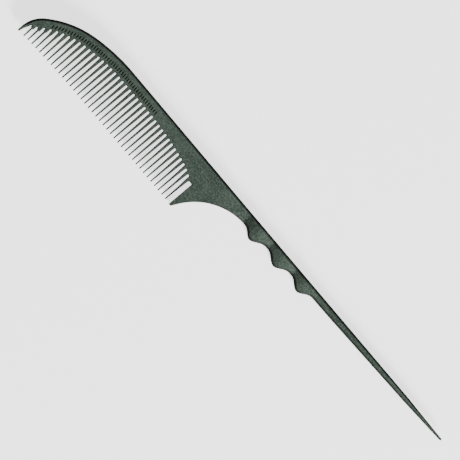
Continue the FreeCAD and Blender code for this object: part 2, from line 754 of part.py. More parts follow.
def make_heel_guard():
    body = make_body("heel_guard")
    sketch = make_sketch(body, "heel_guard_outline", "XY_Plane")
    heel, land = value_of(X_HEEL), value_of(Y_HEEL_LAND)
    tip_y = "(sizes.nose_tip_drop - sizes.heel_guard_tip_drop)"
    tip = value_of(tip_y)
    radius = size("heel_arc_radius")
    centre = (value_of(X_NECK_1) + size("heel_arc_past_neck"), value_of(Y_HEEL_CENTRE), 0)
    start_degrees = 180 - math.degrees(math.asin((land - centre[1]) / radius))
    end_degrees = 90 + size("heel_slope_angle")
    turn = math.radians(end_degrees)
    arc_end = (centre[0] + radius * math.cos(turn), centre[1] + radius * math.sin(turn), 0)
    run = (arc_end[1] - tip) / math.tan(math.radians(size("heel_slope_angle")))
    arc = add_arc(sketch, centre, radius, start_degrees, end_degrees)
    slope = add_line(sketch, (arc_end[0] - run, tip, 0), arc_end)
    tip_line = add_line(sketch, (arc_end[0] - run, tip, 0), (heel, tip, 0))
    inner = add_line(sketch, (heel, tip, 0), (heel, land, 0))
    arc_start_x = centre[0] + radius * math.cos(math.radians(start_degrees))
    root = add_line(sketch, (heel, land, 0), (arc_start_x, land, 0))
    sketch.addConstraint(Sketcher.Constraint("Tangent", arc, END, slope, END))
    sketch.addConstraint(Sketcher.Constraint("Coincident", slope, START, tip_line, START))
    for first, second in ((tip_line, inner), (inner, root), (root, arc)):
        join(sketch, "Coincident", first, second)
    for edge in (tip_line, root):
        sketch.addConstraint(Sketcher.Constraint("Horizontal", edge))
    sketch.addConstraint(Sketcher.Constraint("Vertical", inner))
    pin_x(sketch, inner, START, X_HEEL)
    pin_y(sketch, inner, START, tip_y)
    pin_y(sketch, inner, END, Y_HEEL_LAND)
    pin_x(sketch, arc, CENTRE, f"{X_NECK_1} + sizes.heel_arc_past_neck")
    pin_y(sketch, arc, CENTRE, Y_HEEL_CENTRE)
    bind(sketch, "Radius", arc, expression="sizes.heel_arc_radius")
    bind_angle(sketch, slope, "sizes.heel_slope_angle")
    pad = body.newObject("PartDesign::Pad", "heel_guard_plate")
    pad.Profile = sketch
    pad.setExpression("Length", "sizes.plate_thickness")
    document.recompute()

    def upright_at_tip(edge):
        return edge.BoundBox.ZLength > 1 and edge.BoundBox.YMax < tip + EPSILON

    tips = edge_names(pad.Shape, upright_at_tip)
    tip_round = make_fillet(body, "heel_guard_tip", pad, tips, "sizes.heel_guard_tip_round")
    document.recompute()

    def on_rim(edge):
        box = edge.BoundBox
        return box.ZLength < EPSILON and box.YMin < land - EPSILON

    rim = edge_names(tip_round.Shape, on_rim)
    make_fillet(body, "heel_guard_rim", tip_round, rim, "sizes.heel_edge_round")


# ---------------------------------------------------------------------------------------------
# Finger grip and tail: both are swept along x, with the back edge kept straight.
# ---------------------------------------------------------------------------------------------

def back_section(body, name, place, width, thickness, rounds, back_drop="0"):
    """A cross-section whose upper side in y follows the back edge."""
    top = f"{Y_BACK} - {back_drop}"
    box = (f"{top} - {width}", top, *centred(thickness))
    return rounded_section(body, name, "YZ_Plane", place, box, rounds)


def wave_rise(climb, power):
    """How far a wave has risen at a share of the climb from a neck, 0, to its crest, 1."""
    return round(math.sin(math.pi / 2 * climb) ** (2 * power), 4)


def wave_section(body, wave, share, climb):
    """One cross-section of a wave. share is its place along the wave's length."""
    before_crest = share < size("crest_share")
    neck = wave if before_crest else wave + 1
    power = size(f"wave_{wave}_rise_power") if before_crest else size("wave_fall_power")
    start = (X_NECK_1, X_NECK_2, X_NECK_3)[wave - 1]
    neck_width = f"sizes.neck_{neck}_width"
    rise, bulge = wave_rise(climb, power), wave_rise(climb, size("bulge_power"))
    width = f"({neck_width} + {rise} * (sizes.wave_{wave}_width - {neck_width}))"
    swell = "(sizes.plate_thickness - sizes.neck_thickness)"
    thickness = f"(sizes.neck_thickness + {bulge} * {swell})"
    place = f"({start} + {share} * sizes.wave_{wave}_length)"
    label = f"grip_wave_{wave}_at_{round(1000 * share)}"
    at_heel = wave == 1 and share == 0
    low_round = "sizes.heel_edge_round" if at_heel else "sizes.edge_round"
    rounds = (low_round, "sizes.edge_round")
    return back_section(body, label, place, width, thickness, rounds)


def make_grip():
    """Three waves, each a loft of its own, which meet in a valley at each neck."""
    body = make_body("grip")
    crest = size("crest_share")
    climbs = [(round(crest * climb, 4), climb) for climb in (0, *WAVE_STATIONS)]
    descents = [(round(1 - (1 - crest) * climb, 4), climb) for climb in (*WAVE_STATIONS[:-1], 0)]
    stations = sorted(climbs + descents)
    for wave in (1, 2, 3):
        sections = [wave_section(body, wave, share, climb) for share, climb in stations]
        make_loft(body, f"grip_wave_{wave}", sections)


def make_tail():
    body = make_body("tail")
    full = ("sizes.edge_round", "sizes.edge_round")
    taper_x = f"({X_TAIL_END} - sizes.tail_taper_length)"
    slim_round = f"{FULL_ROUND} * sizes.tail_taper_thickness"
    fine_round = f"{FULL_ROUND} * sizes.tail_tip_thickness"
    blunt_round = f"{TAIL_END_SHARE} * {fine_round}"
    tip_drop = "sizes.tail_tip_below_back"
    end_drop = f"({tip_drop} + (1 - {TAIL_END_SHARE}) / 2 * sizes.tail_tip_width)"
    stations = (
        ("tail_start", X_NECK_4, "sizes.neck_4_width", "sizes.neck_thickness", full, "0"),
        (
            "tail_root",
            f"({X_NECK_4} + sizes.tail_root_length)",
            "sizes.tail_root_width",
            "sizes.neck_thickness",
            full,
            "0",
        ),
        (
            "tail_taper",
            taper_x,
            "sizes.tail_taper_width",
            "sizes.tail_taper_thickness",
            (slim_round, slim_round),
            "0",
        ),
        (
            "tail_tip",
            f"({X_TAIL_END} - sizes.tail_tip_round)",
            "sizes.tail_tip_width",
            "sizes.tail_tip_thickness",
            (fine_round, fine_round),
            tip_drop,
        ),
        (
            "tail_end",
            X_TAIL_END,
            f"({TAIL_END_SHARE} * sizes.tail_tip_width)",
            f"({TAIL_END_SHARE} * sizes.tail_tip_thickness)",
            (blunt_round, blunt_round),
            end_drop,
        ),
    )
    sections = [back_section(body, *station) for station in stations]
    make_loft(body, "tail_loft", sections, straight=True)


# ---------------------------------------------------------------------------------------------
# Build, check and write every region.
# ---------------------------------------------------------------------------------------------

def check_document():
    """Stops if any feature failed or any region isn't one sound solid."""
    document.recompute()
    bodies = [item for item in document.Objects if item.TypeId == "PartDesign::Body"]
    failed = [
        item.Name
        for item in document.Objects
        if "Invalid" in item.State or "Error" in item.State
    ]
    failed += [
        body.Label
        for body in bodies
        if body.Shape.isNull() or not body.Shape.isValid() or len(body.Shape.Solids) != 1
    ]
    if failed:
        raise RuntimeError(f"these failed to build: {failed}")
    return bodies


make_spine()
make_nose_guard()
for tooth in range(1, TOOTH_COUNT + 1):
    make_tooth(tooth)
make_heel_guard()
make_grip()
make_tail()

finished = check_document()
os.makedirs("parts", exist_ok=True)
for body in finished:
    body.Shape.exportStep(f"parts/{body.Label}.step")
    print(f"{body.Label}: {body.Shape.Volume:.1f} mm3")
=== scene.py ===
import math

import bpy
import numpy as np
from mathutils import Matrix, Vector
from mathutils.geometry import delaunay_2d_cdt


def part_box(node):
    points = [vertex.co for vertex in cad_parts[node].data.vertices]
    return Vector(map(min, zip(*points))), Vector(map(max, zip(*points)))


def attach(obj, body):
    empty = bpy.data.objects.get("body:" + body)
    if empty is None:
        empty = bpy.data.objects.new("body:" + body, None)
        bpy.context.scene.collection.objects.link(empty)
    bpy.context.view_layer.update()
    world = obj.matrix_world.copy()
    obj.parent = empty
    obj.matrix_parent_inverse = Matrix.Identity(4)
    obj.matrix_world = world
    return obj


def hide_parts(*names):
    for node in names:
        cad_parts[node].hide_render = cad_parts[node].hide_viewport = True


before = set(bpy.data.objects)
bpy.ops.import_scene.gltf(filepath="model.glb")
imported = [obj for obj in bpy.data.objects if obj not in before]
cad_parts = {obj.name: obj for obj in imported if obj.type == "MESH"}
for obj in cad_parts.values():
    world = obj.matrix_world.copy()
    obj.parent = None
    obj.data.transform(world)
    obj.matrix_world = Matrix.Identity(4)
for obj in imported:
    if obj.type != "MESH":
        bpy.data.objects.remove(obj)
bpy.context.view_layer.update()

bl_info = {
    "name": "Rat tail comb",
    "version": (1, 0, 0),
    "blender": (4, 5, 0),
    "location": "View3D > Sidebar > Comb",
    "description": "Builds a moulded rat tail comb, its finish and its stage",
    "category": "Object",
}

# ---- Places that come from the frame, in metres ----

NOSE_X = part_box("nose_guard")[0].x
TIP_LINE_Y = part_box("nose_guard")[0].y
GUARD_LAND_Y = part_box("nose_guard")[1].y
HEEL_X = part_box("heel_guard")[0].x
HEEL_LAND_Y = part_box("heel_guard")[1].y
HEEL_TIP_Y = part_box("heel_guard")[0].y
GRIP_START_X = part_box("grip")[0].x
TAIL_START_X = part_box("tail")[0].x
TAIL_END_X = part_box("tail")[1].x
BACK_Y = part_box("tail")[1].y
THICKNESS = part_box("spine")[1].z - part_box("spine")[0].z
MIDDLE_Z = (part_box("spine")[1].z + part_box("spine")[0].z) / 2
TOOTH_NAMES = sorted(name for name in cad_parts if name.startswith("tooth_"))

HALF = THICKNESS / 2
# Facets of a quarter round, a slot's corner and a long curve, and parts of a flat stretch.
ROUND_STEPS = 4
CORNER_STEPS = 4
CURVE_STEPS = 12
FLAT_STEPS = 4
# Points within this distance of each other are one point.
WELD = 1e-8
# Slack for telling levels of the frame apart.
LEVEL_SLACK = 0.00002
# A narrow slot's corners take up at most this share of its width each.
WIDEST_CORNER = 0.45
# Edge radius of a nearly round section, as a share of its thickness.
NEARLY_ROUND = 0.42
# The rounding of the heel's edge grows to the grip's over this length.
BLEND_LENGTH = 0.001
# Half the stretch over which a slope is measured.
SLOPE_STEP = 0.0002
# Draft of a mark's walls.
MARK_DRAFT = 0.00006
# Corners of a mark with round ends, as shares of its half width and half length.
MARK_END, MARK_SHOULDER = 0.35, 0.8
# Flat faces are filled in millimetres, and points this close there are one point.
FILL_SCALE = 1000
FILL_WELD = 1e-6
# Cross-sections along one wave and along the root of the tail, and the digits their places keep.
WAVE_STEPS = 28
TAIL_ROOT_STEPS = 6
PLACE_DIGITS = 9
# Cross-sections along the nose guard and a tooth, and parts of the heel guard's straight sides.
GUARD_STEPS = 10
TOOTH_STEPS = 12
SIDE_STEPS = 4
# The nose guard's middle section: its level, and how much of the root's width it keeps.
GUARD_MIDDLE_LEVEL = 0.6
GUARD_MIDDLE_WIDTH = 0.35
# The rounding of the heel guard's tip grows to the heel's over this length.
TIP_BLEND_LENGTH = 0.004
QUARTER = math.pi / 2


# ---- Sizes and colours that a user would change ----

def number(name, description, default, **settings):
    settings = {"name": name, "description": description, "default": default, **settings}
    return bpy.props.FloatProperty(**settings)


def numbers(name, description, default, **settings):
    settings = {"name": name, "description": description, "default": default, **settings}
    return bpy.props.FloatVectorProperty(size=len(default), **settings)


def metres(name, description, default):
    return number(name, description, default, unit="LENGTH", precision=5)


def degrees(name, description, default):
    return number(name, description, math.radians(default), subtype="ANGLE")


def colour(name, description, default):
    return numbers(name, description, default, subtype="COLOR")


class OutlineSizes(bpy.types.PropertyGroup):
    """Sizes of the plate's outline and of its rounded edges."""

    back_round: metres("Back round", "Rounding along the back and nose", 0.0012)
    heel_round: metres("Heel round", "Rounding along the heel", 0.0005)
    slot_round: metres("Slot rim round", "Rounding of the slots' rims", 0.00035)
    slot_corner: metres("Slot corner", "Corner radius at the end of a slot", 0.00038)
    crown_from_nose: metres("Crown place", "Distance from the nose to the crown", 0.0429)
    crown_rise: metres("Crown rise", "Rise of the crown above the back", 0.00024)
    crown_radius: metres("Crown radius", "Radius of the crown's arc", 0.0837)
    crown_turn: degrees("Crown turn", "Turn of the crown's arc", 14.0)
    brow_radius: metres("Brow radius", "Radius of the brow's arc", 0.042)
    brow_turn: degrees("Brow turn", "Turn of the brow's arc", 29.5)
    heel_radius: metres("Heel radius", "Radius of the heel's hollow", 0.0269)
    heel_past_neck: metres("Heel centre", "Heel centre past the first neck", 0.002)
    heel_slope: degrees("Heel slope", "Slope of the heel guard", 62.6)
    heel_tip_round: metres("Heel tip round", "Corners of the heel guard", 0.00025)
    relief_length: metres("Relief length", "Length that thins to the grip", 0.014)


class ToothSizes(bpy.types.PropertyGroup):
    """Sizes of one tooth and of the nose guard."""

    root_width: metres("Root width", "Width where a tooth starts", 0.00134)
    knee_width: metres("Knee width", "Width at the knee", 0.0008)
    knee_thickness: metres("Knee thickness", "Thickness at the knee", 0.0023)
    knee_height: metres("Knee height", "Height of the knee above the tip", 0.0068)
    tip_width: metres("Tip width", "Width at the tip", 0.0006)
    tip_thickness: metres("Tip thickness", "Thickness at the tip", 0.0013)
    tip_round: metres("Tip round", "Rounding of the tip", 0.0002)
    guard_root_width: metres("Guard root", "Nose guard's width at its root", 0.00195)
    guard_tip_width: metres("Guard tip", "Nose guard's width at its tip", 0.00088)
    guard_tip_thickness: metres("Guard tip depth", "Thickness at its tip", 0.0016)


class MarkSizes(bpy.types.PropertyGroup):
    """The row of short engraved marks below the back."""

    count: bpy.props.IntProperty(name="Marks", description="Number of marks", default=47, min=0)
    pitch: metres("Mark pitch", "Distance between marks", 0.00115)
    first: metres("First mark", "Distance from the nose to the first mark", 0.00845)
    below_back: metres("Mark level", "Distance from the back to a mark", 0.0036)
    length: metres("Mark length", "Length of a mark", 0.0017)
    width: metres("Mark width", "Width of a mark", 0.00046)
    depth: metres("Mark depth", "Depth of a mark", 0.00035)
    lean: degrees("Mark lean", "Lean of the marks", 8.0)


class GripSizes(bpy.types.PropertyGroup):
    """Waves of the grip, and the tail."""

    neck_widths: numbers(
        "Neck widths", "Widths at the necks", (0.00525, 0.00455, 0.0041, 0.0036), unit="LENGTH"
    )
    wave_widths: numbers(
        "Wave widths", "Widths at the crests", (0.00775, 0.00725, 0.00675), unit="LENGTH"
    )
    wave_lengths: numbers(
        "Wave lengths", "Lengths of the waves", (0.0146, 0.014, 0.0134), unit="LENGTH"
    )
    crest_share: number("Crest place", "Share of a wave before its crest", 0.475, min=0, max=1)
    rise_powers: numbers("Rise", "Steepness before each crest", (2.0, 1.2, 1.2))
    fall_power: number("Fall", "Steepness after a crest", 1.5)
    bulge_power: number("Bulge", "Fullness of the waves' thickness", 0.6)
    neck_thickness: metres("Neck thickness", "Thickness at the necks", 0.0027)
    tail_root_length: metres("Tail root", "Length of the tail's root", 0.0096)
    tail_root_width: metres("Root width", "Width of the tail's root", 0.0035)
    taper_length: metres("Taper length", "Length of the final taper", 0.0215)
    taper_width: metres("Taper width", "Width where the final taper starts", 0.0024)
    taper_thickness: metres("Taper thickness", "Thickness at that place", 0.0021)
    tip_size: metres("Tail tip", "Width and thickness near the tip", 0.00095)
    tip_round: metres("Tail tip round", "Rounding of the tip", 0.00035)
    tip_drop: metres("Tail tip drop", "Drop of the tip below the back", 0.0005)


class FinishColours(bpy.types.PropertyGroup):
    """Colours of the moulded plastic, of the painted shade on its edges and in its marks, and of
    the floor, and the floor's glow.
    """

    plastic: colour("Plastic", "Main colour", (0.052, 0.078, 0.058))
    plastic_dark: colour("Dark", "Colour of the darker patches", (0.032, 0.052, 0.038))
    # Painted shade: the dark colour painted on the rounded edges and into the floors of the
    # marks.
    painted_edge_and_mark_shade: colour("Edge", "Colour of edges and marks", (0.008, 0.013, 0.01))
    plastic_pale: colour("Pale", "Colour of the pale specks", (0.125, 0.15, 0.13))
    floor: colour("Floor", "Floor colour", (0.9, 0.9, 0.9))
    floor_glow: number("Floor glow", "Glow of the floor as the camera sees it", 2.2)


GROUPS = {
    "comb_outline": OutlineSizes,
    "comb_teeth": ToothSizes,
    "comb_marks": MarkSizes,
    "comb_grip": GripSizes,
    "comb_finish": FinishColours,
}


# ---- Shells: closed meshes with a shading normal at every point ----

def unit(vector):
    vector = np.asarray(vector, float)
    return vector / np.linalg.norm(vector)


def heading(angle):
    return np.array([math.cos(angle), math.sin(angle)])


class Shell:
    """Points with shading normals, amounts of painted edge shade and painted mark shade, and the
    faces between them.
    """

    def __init__(self):
        self.places, self.normals, self.rims, self.painted_mark_shades = [], [], [], []
        self.faces, self.is_flat = [], []
        self.index = {}

    # rim is the share of painted edge shade at a point, and the last value the share of painted
    # shade in the floor of a mark.
    def point(self, place, normal, rim=0.0, painted_mark_shade=0.0):
        key = tuple(int(round(value / WELD)) for value in place)
        if key not in self.index:
            self.index[key] = len(self.places)
            self.places.append(tuple(map(float, place)))
            self.normals.append(tuple(unit(normal)))
            self.rims.append(rim)
            self.painted_mark_shades.append(painted_mark_shade)
        return self.index[key]

    def row(self, points):
        return [self.point(*point) for point in points]

    def face(self, corners, flat=False):
        kept = [c for i, c in enumerate(corners) if c != corners[i - 1]]
        if len(set(kept)) > 2:
            self.faces.append(kept)
            self.is_flat.append(flat)

    def strips(self, rows, closed=False):
        """Joins rows of points that run side by side."""
        for first, second in zip(rows, rows[1:]):
            for i in range(len(first) if closed else len(first) - 1):
                j = (i + 1) % len(first)
                self.face([first[i], second[i], second[j], first[j]])

    def tube(self, rings):
        """Joins the rings round a row of cross-sections, and closes it with flat ends."""
        rows = [self.row(ring) for ring in rings]
        self.strips(rows, closed=True)
        self.face(rows[0], flat=True)
        self.face(rows[-1][::-1], flat=True)

    def mesh(self, name):
        mesh = bpy.data.meshes.new(name)
        mesh.from_pydata(self.places, [], self.faces)
        set_attribute(mesh, "rim", "FLOAT", self.rims)
        set_attribute(mesh, "painted_mark_shade", "FLOAT", self.painted_mark_shades)
        mesh.polygons.foreach_set("use_smooth", [True] * len(mesh.polygons))
        corner_normals = []
        for polygon, flat in zip(mesh.polygons, self.is_flat):
            for vertex in polygon.vertices:
                corner_normals.append(polygon.normal if flat else self.normals[vertex])
        mesh.normals_split_custom_set(corner_normals)
        return mesh


def link_object(name, data):
    thing = bpy.data.objects.new(name, data)
    bpy.context.scene.collection.objects.link(thing)
    return thing


def add_piece(name, mesh, nodes, material):
    """Shows a finished mesh in place of the frame's own nodes."""
    mesh.name = name
    if material.name not in mesh.materials:
        mesh.materials.append(material)
    piece = link_object(name, mesh)
    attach(piece, "root")
    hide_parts(*nodes)


# ---- Rounded edges ----
# A stop is one place of an outline: its point, its outward normal, the way in from the edge
# and the radius of the edge.

def stop(place, normal, radius, inset=None):
    normal = np.asarray(normal, float)
    return {
        "place": np.asarray(place, float),
        "normal": normal,
        "inset": normal if inset is None else np.asarray(inset, float),
        "radius": radius,
    }


def column(edge, half=HALF, slope=0.0):
    """
    The points up the edge of a plate at a stop, from the lower face to the upper one. slope is
    the plate's change of half thickness along x.
    """
    points = []
    upper = [QUARTER * i / ROUND_STEPS for i in range(ROUND_STEPS + 1)]
    for turn in [-angle for angle in reversed(upper)] + upper:
        across, climb = math.cos(turn), math.sin(turn)
        side = 1 if len(points) > ROUND_STEPS else -1
        flat = edge["place"] - edge["inset"] * edge["radius"] * (1 - across)
        z = MIDDLE_Z + side * (half - edge["radius"]) + edge["radius"] * climb
        out = edge["normal"] * across
        normal = (out[0] - slope * abs(climb), out[1], climb)
        # The last value is the point's rim value: painted edge shade, none on the flat face and
        # the upright wall, most halfway round the edge.
        points.append(((*flat, z), normal, math.sin(2 * abs(turn))))
    return points


def arc_stops(centre, radius, start, end, steps, edge_radius, hollow=False):
    """Stops along an arc. The outline of a hollow has its outside towards the centre."""
    stops = []
    for i in range(steps + 1):
        angle = start + (end - start) * i / steps
        way = heading(angle)
        stops.append(stop(centre + radius * way, -way if hollow else way, edge_radius))
    return stops


def level_end(edge, along):
    """Turns the way in from the edge along x or y, where the outline meets a straight cut."""
    axis = 0 if along == "x" else 1
    inset = np.zeros(2)
    inset[axis] = 1 / edge["normal"][axis]
    return {**edge, "inset": inset}


# ---- Outline of the plate, anticlockwise seen from above ----

def crown_place(sizes):
    return np.array([NOSE_X + sizes.crown_from_nose, BACK_Y + sizes.crown_rise])


def back_arcs(sizes):
    """Centre, radius, start and end angle of the crown, the brow and the nose."""
    crown_centre = crown_place(sizes) - np.array([0, sizes.crown_radius])
    crown_end = QUARTER + sizes.crown_turn
    brow_end = crown_end + sizes.brow_turn
    brow_centre = crown_centre + heading(crown_end) * (sizes.crown_radius - sizes.brow_radius)
    brow_edge = brow_centre + heading(brow_end) * sizes.brow_radius
    nose_radius = (brow_edge[0] - NOSE_X) / (1 + math.cos(brow_end))
    nose_centre = brow_edge - heading(brow_end) * nose_radius
    nose_end = math.pi - math.asin((GUARD_LAND_Y - nose_centre[1]) / nose_radius)
    return (
        (crown_centre, sizes.crown_radius, QUARTER, crown_end),
        (brow_centre, sizes.brow_radius, crown_end, brow_end),
        (nose_centre, nose_radius, brow_end, nose_end),
    )


def back_level(sizes, x):
    """Height of the back edge at a place along the comb."""
    crown = crown_place(sizes)
    if x >= GRIP_START_X:
        return BACK_Y
    if x >= crown[0]:
        return BACK_Y + sizes.crown_rise * (GRIP_START_X - x) / (GRIP_START_X - crown[0])
    for centre, radius, _, end in back_arcs(sizes):
        if x >= centre[0] + radius * math.cos(end):
            break
    return centre[1] + math.sqrt(max(0.0, radius**2 - (x - centre[0]) ** 2))


def heel_centre(sizes):
    neck_low = BACK_Y - bpy.context.scene.comb_grip.neck_widths[0]
    rise = math.sqrt(sizes.heel_radius**2 - sizes.heel_past_neck**2)
    return np.array([GRIP_START_X + sizes.heel_past_neck, neck_low - rise])


def relief_start(sizes):
    return GRIP_START_X - sizes.relief_length


def heel_angle(sizes, y=None, x=None):
    """Angle about the heel's centre of its hollow at a given height or place along x."""
    centre = heel_centre(sizes)
    if y is not None:
        return math.pi - math.asin((y - centre[1]) / sizes.heel_radius)
    return math.acos((x - centre[0]) / sizes.heel_radius)


def read_teeth():
    """Root, land and tip of each tooth, from the frame's own points."""
    teeth = []
    for name in TOOTH_NAMES:
        points = np.array([v.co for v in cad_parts[name].data.vertices], float)
        land, tip = points[:, 1].max(), points[:, 1].min()
        root = points[points[:, 1] > land - LEVEL_SLACK, 0]
        end = points[points[:, 1] < tip + LEVEL_SLACK, 0]
        tooth = {"left": root.min(), "right": root.max(), "land": land, "tip_y": tip}
        teeth.append({**tooth, "tip_x": (end.min() + end.max()) / 2})
    return teeth


def read_slots(scene, teeth):
    """Sides, land levels and closed end of each slot between the teeth."""
    points = np.array([v.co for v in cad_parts["spine"].data.vertices], float)
    marks = scene.comb_marks
    lefts = [(NOSE_X + scene.comb_teeth.guard_root_width, GUARD_LAND_Y)]
    lefts += [(tooth["right"], tooth["land"]) for tooth in teeth]
    rights = [(tooth["left"], tooth["land"]) for tooth in teeth] + [(HEEL_X, HEEL_LAND_Y)]
    below_marks = marks.below_back + marks.length / 2 + marks.width
    below_edge = 2 * scene.comb_outline.back_round
    slots = []
    for (left, left_land), (right, right_land) in zip(lefts, rights):
        marked = right > NOSE_X + marks.first - marks.pitch
        ceiling = back_level(scene.comb_outline, left) - (below_marks if marked else below_edge)
        between = (points[:, 0] > left + LEVEL_SLACK) & (points[:, 0] < right - LEVEL_SLACK)
        end = points[between & (points[:, 1] < ceiling), 1].max()
        corner = min(scene.comb_outline.slot_corner, WIDEST_CORNER * (right - left))
        slots.append((left, right, left_land, right_land, end, corner))
    return slots


def slot_stops(slot, radius):
    """Up one side of a slot, round its closed end and down the other side."""
    left, right, left_land, right_land, end, corner = slot
    left_centre = np.array([left + corner, end - corner])
    right_centre = np.array([right - corner, end - corner])
    stops = [stop((left, left_land), (1, 0), radius)]
    stops += arc_stops(left_centre, corner, math.pi, QUARTER, CORNER_STEPS, radius, True)
    stops += arc_stops(right_centre, corner, QUARTER, 0, CORNER_STEPS, radius, True)
    stops.append(stop((right, right_land), (-1, 0), radius))
    return stops


def heel_stops(scene):
    """The hollow of the heel, from the heel guard up to where the plate starts to thin."""
    sizes = scene.comb_outline
    start, end = heel_angle(sizes, y=HEEL_LAND_Y), heel_angle(sizes, x=relief_start(sizes))
    stops = arc_stops(
        heel_centre(sizes), sizes.heel_radius, start, end, CURVE_STEPS, sizes.heel_round, True
    )
    meeting, _, _, _ = handle_edges(scene, relief_start(sizes))
    return [level_end(stops[0], "x"), *stops[1:-1], meeting]


def back_stops(scene):
    """The back, crown, brow and nose, down to the nose guard."""
    sizes = scene.comb_outline
    _, meeting, _, _ = handle_edges(scene, relief_start(sizes))
    stops = [meeting]
    for centre, radius, start, end in back_arcs(sizes):
        arc = arc_stops(centre, radius, start, end, 2 * CURVE_STEPS, sizes.back_round)
        stops += arc if centre[1] < GUARD_LAND_Y else arc[:-1]
    return [*stops[:-1], level_end(stops[-1], "x")]


# ---- Handle: cross-sections along x, from the thinning plate to the tip of the tail ----

def rise(climb, power):
    """How far a wave has risen at a share of the climb from a neck, 0, to its crest, 1."""
    return math.sin(QUARTER * climb) ** (2 * power)


def smooth_step(low, high, value):
    share = min(1.0, max(0.0, (value - low) / (high - low)))
    return share * share * (3 - 2 * share)


def wave_section(grip, x):
    """Width and half thickness of the grip at a place along it."""
    start = GRIP_START_X
    for wave, length in enumerate(grip.wave_lengths):
        if x <= start + length or wave == 2:
            break
        start += length
    share = min(1.0, max(0.0, (x - start) / length))
    before = share < grip.crest_share
    climb = share / grip.crest_share if before else (1 - share) / (1 - grip.crest_share)
    power = grip.rise_powers[wave] if before else grip.fall_power
    neck = grip.neck_widths[wave if before else wave + 1]
    width = neck + rise(climb, power) * (grip.wave_widths[wave] - neck)
    thickness = grip.neck_thickness
    thickness += rise(climb, grip.bulge_power) * (THICKNESS - grip.neck_thickness)
    return width, thickness / 2


def handle_section(scene, x):
    """Lower side, back side, half thickness and edge roundings of the handle at x."""
    sizes, grip = scene.comb_outline, scene.comb_grip
    if x < GRIP_START_X:
        centre = heel_centre(sizes)
        low = centre[1] + math.sqrt(sizes.heel_radius**2 - (x - centre[0]) ** 2)
        depth = (THICKNESS - grip.neck_thickness) / 2
        radius = (sizes.relief_length**2 + depth**2) / (2 * depth)
        along = x - relief_start(sizes)
        half = HALF - radius + math.sqrt(radius**2 - along**2)
        return low, back_level(sizes, x), half, sizes.heel_round, sizes.back_round
    if x < TAIL_START_X:
        width, half = wave_section(grip, x)
        blend = smooth_step(GRIP_START_X, GRIP_START_X + BLEND_LENGTH, x)
        low_round = sizes.heel_round + blend * (sizes.back_round - sizes.heel_round)
        return BACK_Y - width, BACK_Y, half, low_round, sizes.back_round
    taper_x = TAIL_END_X - grip.taper_length
    places = (TAIL_START_X, TAIL_START_X + grip.tail_root_length, taper_x, TAIL_END_X)
    neck = grip.neck_thickness
    width = np.interp(
        x, places, (grip.neck_widths[3], grip.tail_root_width, grip.taper_width, grip.tip_size)
    )
    thickness = np.interp(x, places, (neck, neck, grip.taper_thickness, grip.tip_size))
    edge = min(sizes.back_round, NEARLY_ROUND * thickness)
    back = BACK_Y - np.interp(x, places, (0, 0, 0, grip.tip_drop))
    return back - width, back, thickness / 2, edge, edge


def handle_edges(scene, x, shrink=0.0):
    """The stops at both sides of a cross-section, its half thickness and how that changes."""
    low, back, half, low_round, back_round = handle_section(scene, x)
    before, after = handle_section(scene, x - SLOPE_STEP), handle_section(scene, x + SLOPE_STEP)
    slopes = (np.array(after) - np.array(before)) / (2 * SLOPE_STEP)
    edges = []
    for y, normal, radius in (
        (low + shrink, (slopes[0], -1), low_round),
        (back - shrink, (-slopes[1], 1), back_round),
    ):
        edge = stop((x, y), unit(normal), radius - min(shrink, radius / 2))
        edges.append(level_end(edge, "y"))
    return (*edges, half - shrink, slopes[2])


def rounded_end(radius):
    """For each section of a rounded tip, what is left to the end, its shrinking and its turn."""
    turns = [QUARTER * i / ROUND_STEPS for i in range(1, ROUND_STEPS + 1)]
    return [(radius * (1 - math.sin(t)), radius * (1 - math.cos(t)), t) for t in turns]


def handle_ring(scene, x, shrink=0.0, turn=0.0):
    """
    The points round a cross-section of the handle. shrink draws it in, and turn leans its
    normals towards the tip of the tail.
    """
    low_edge, back_edge, half, slope = handle_edges(scene, x, shrink)
    low_side = column(low_edge, half, slope)
    back_side = column(back_edge, half, slope)
    ring = list(low_side)
    ring += between(low_side[-1], back_side[-1])
    ring += reversed(back_side)
    ring += between(back_side[0], low_side[0])
    return [
        (place, unit(unit(normal) * math.cos(turn) + np.array([math.sin(turn), 0, 0])), rim)
        for place, normal, rim in ring
    ]


def between(first, second):
    """Points that divide a flat stretch of a section evenly."""
    points = []
    for i in range(1, FLAT_STEPS):
        share = i / FLAT_STEPS
        place = np.array(first[0]) * (1 - share) + np.array(second[0]) * share
        points.append((place, first[1], 0.0))
    return points


def handle_places(scene, start, end):
    """Places along x for the cross-sections, closer together where the shape turns."""
    grip = scene.comb_grip
    knots = [relief_start(scene.comb_outline), GRIP_START_X]
    for length in grip.wave_lengths:
        knots.append(knots[-1] + length)
    knots[-1] = TAIL_START_X
    knots += [TAIL_START_X + grip.tail_root_length, TAIL_END_X - grip.taper_length]
    knots.append(TAIL_END_X - grip.tip_round)
    steps = (2 * CURVE_STEPS, *(3 * [WAVE_STEPS]), TAIL_ROOT_STEPS, CURVE_STEPS, CURVE_STEPS)
    places = []
    for first, second, count in zip(knots, knots[1:], steps):
        for i in range(count + 1):
            places.append(first + (second - first) * i / count)
    return sorted({round(x, PLACE_DIGITS) for x in places if start - WELD <= x <= end + WELD})


def build_handle_part(scene, start, end, rounded_tip=False):
    """A closed stretch of the handle, with a flat end or a rounded tip."""
    rings = [handle_ring(scene, x) for x in handle_places(scene, start, end)]
    if rounded_tip:
        for left, shrink, turn in rounded_end(scene.comb_grip.tip_round):
            rings.append(handle_ring(scene, TAIL_END_X - left, shrink, turn))
    shell = Shell()
    shell.tube(rings)
    return shell


# ---- Flat faces with engraved marks ----

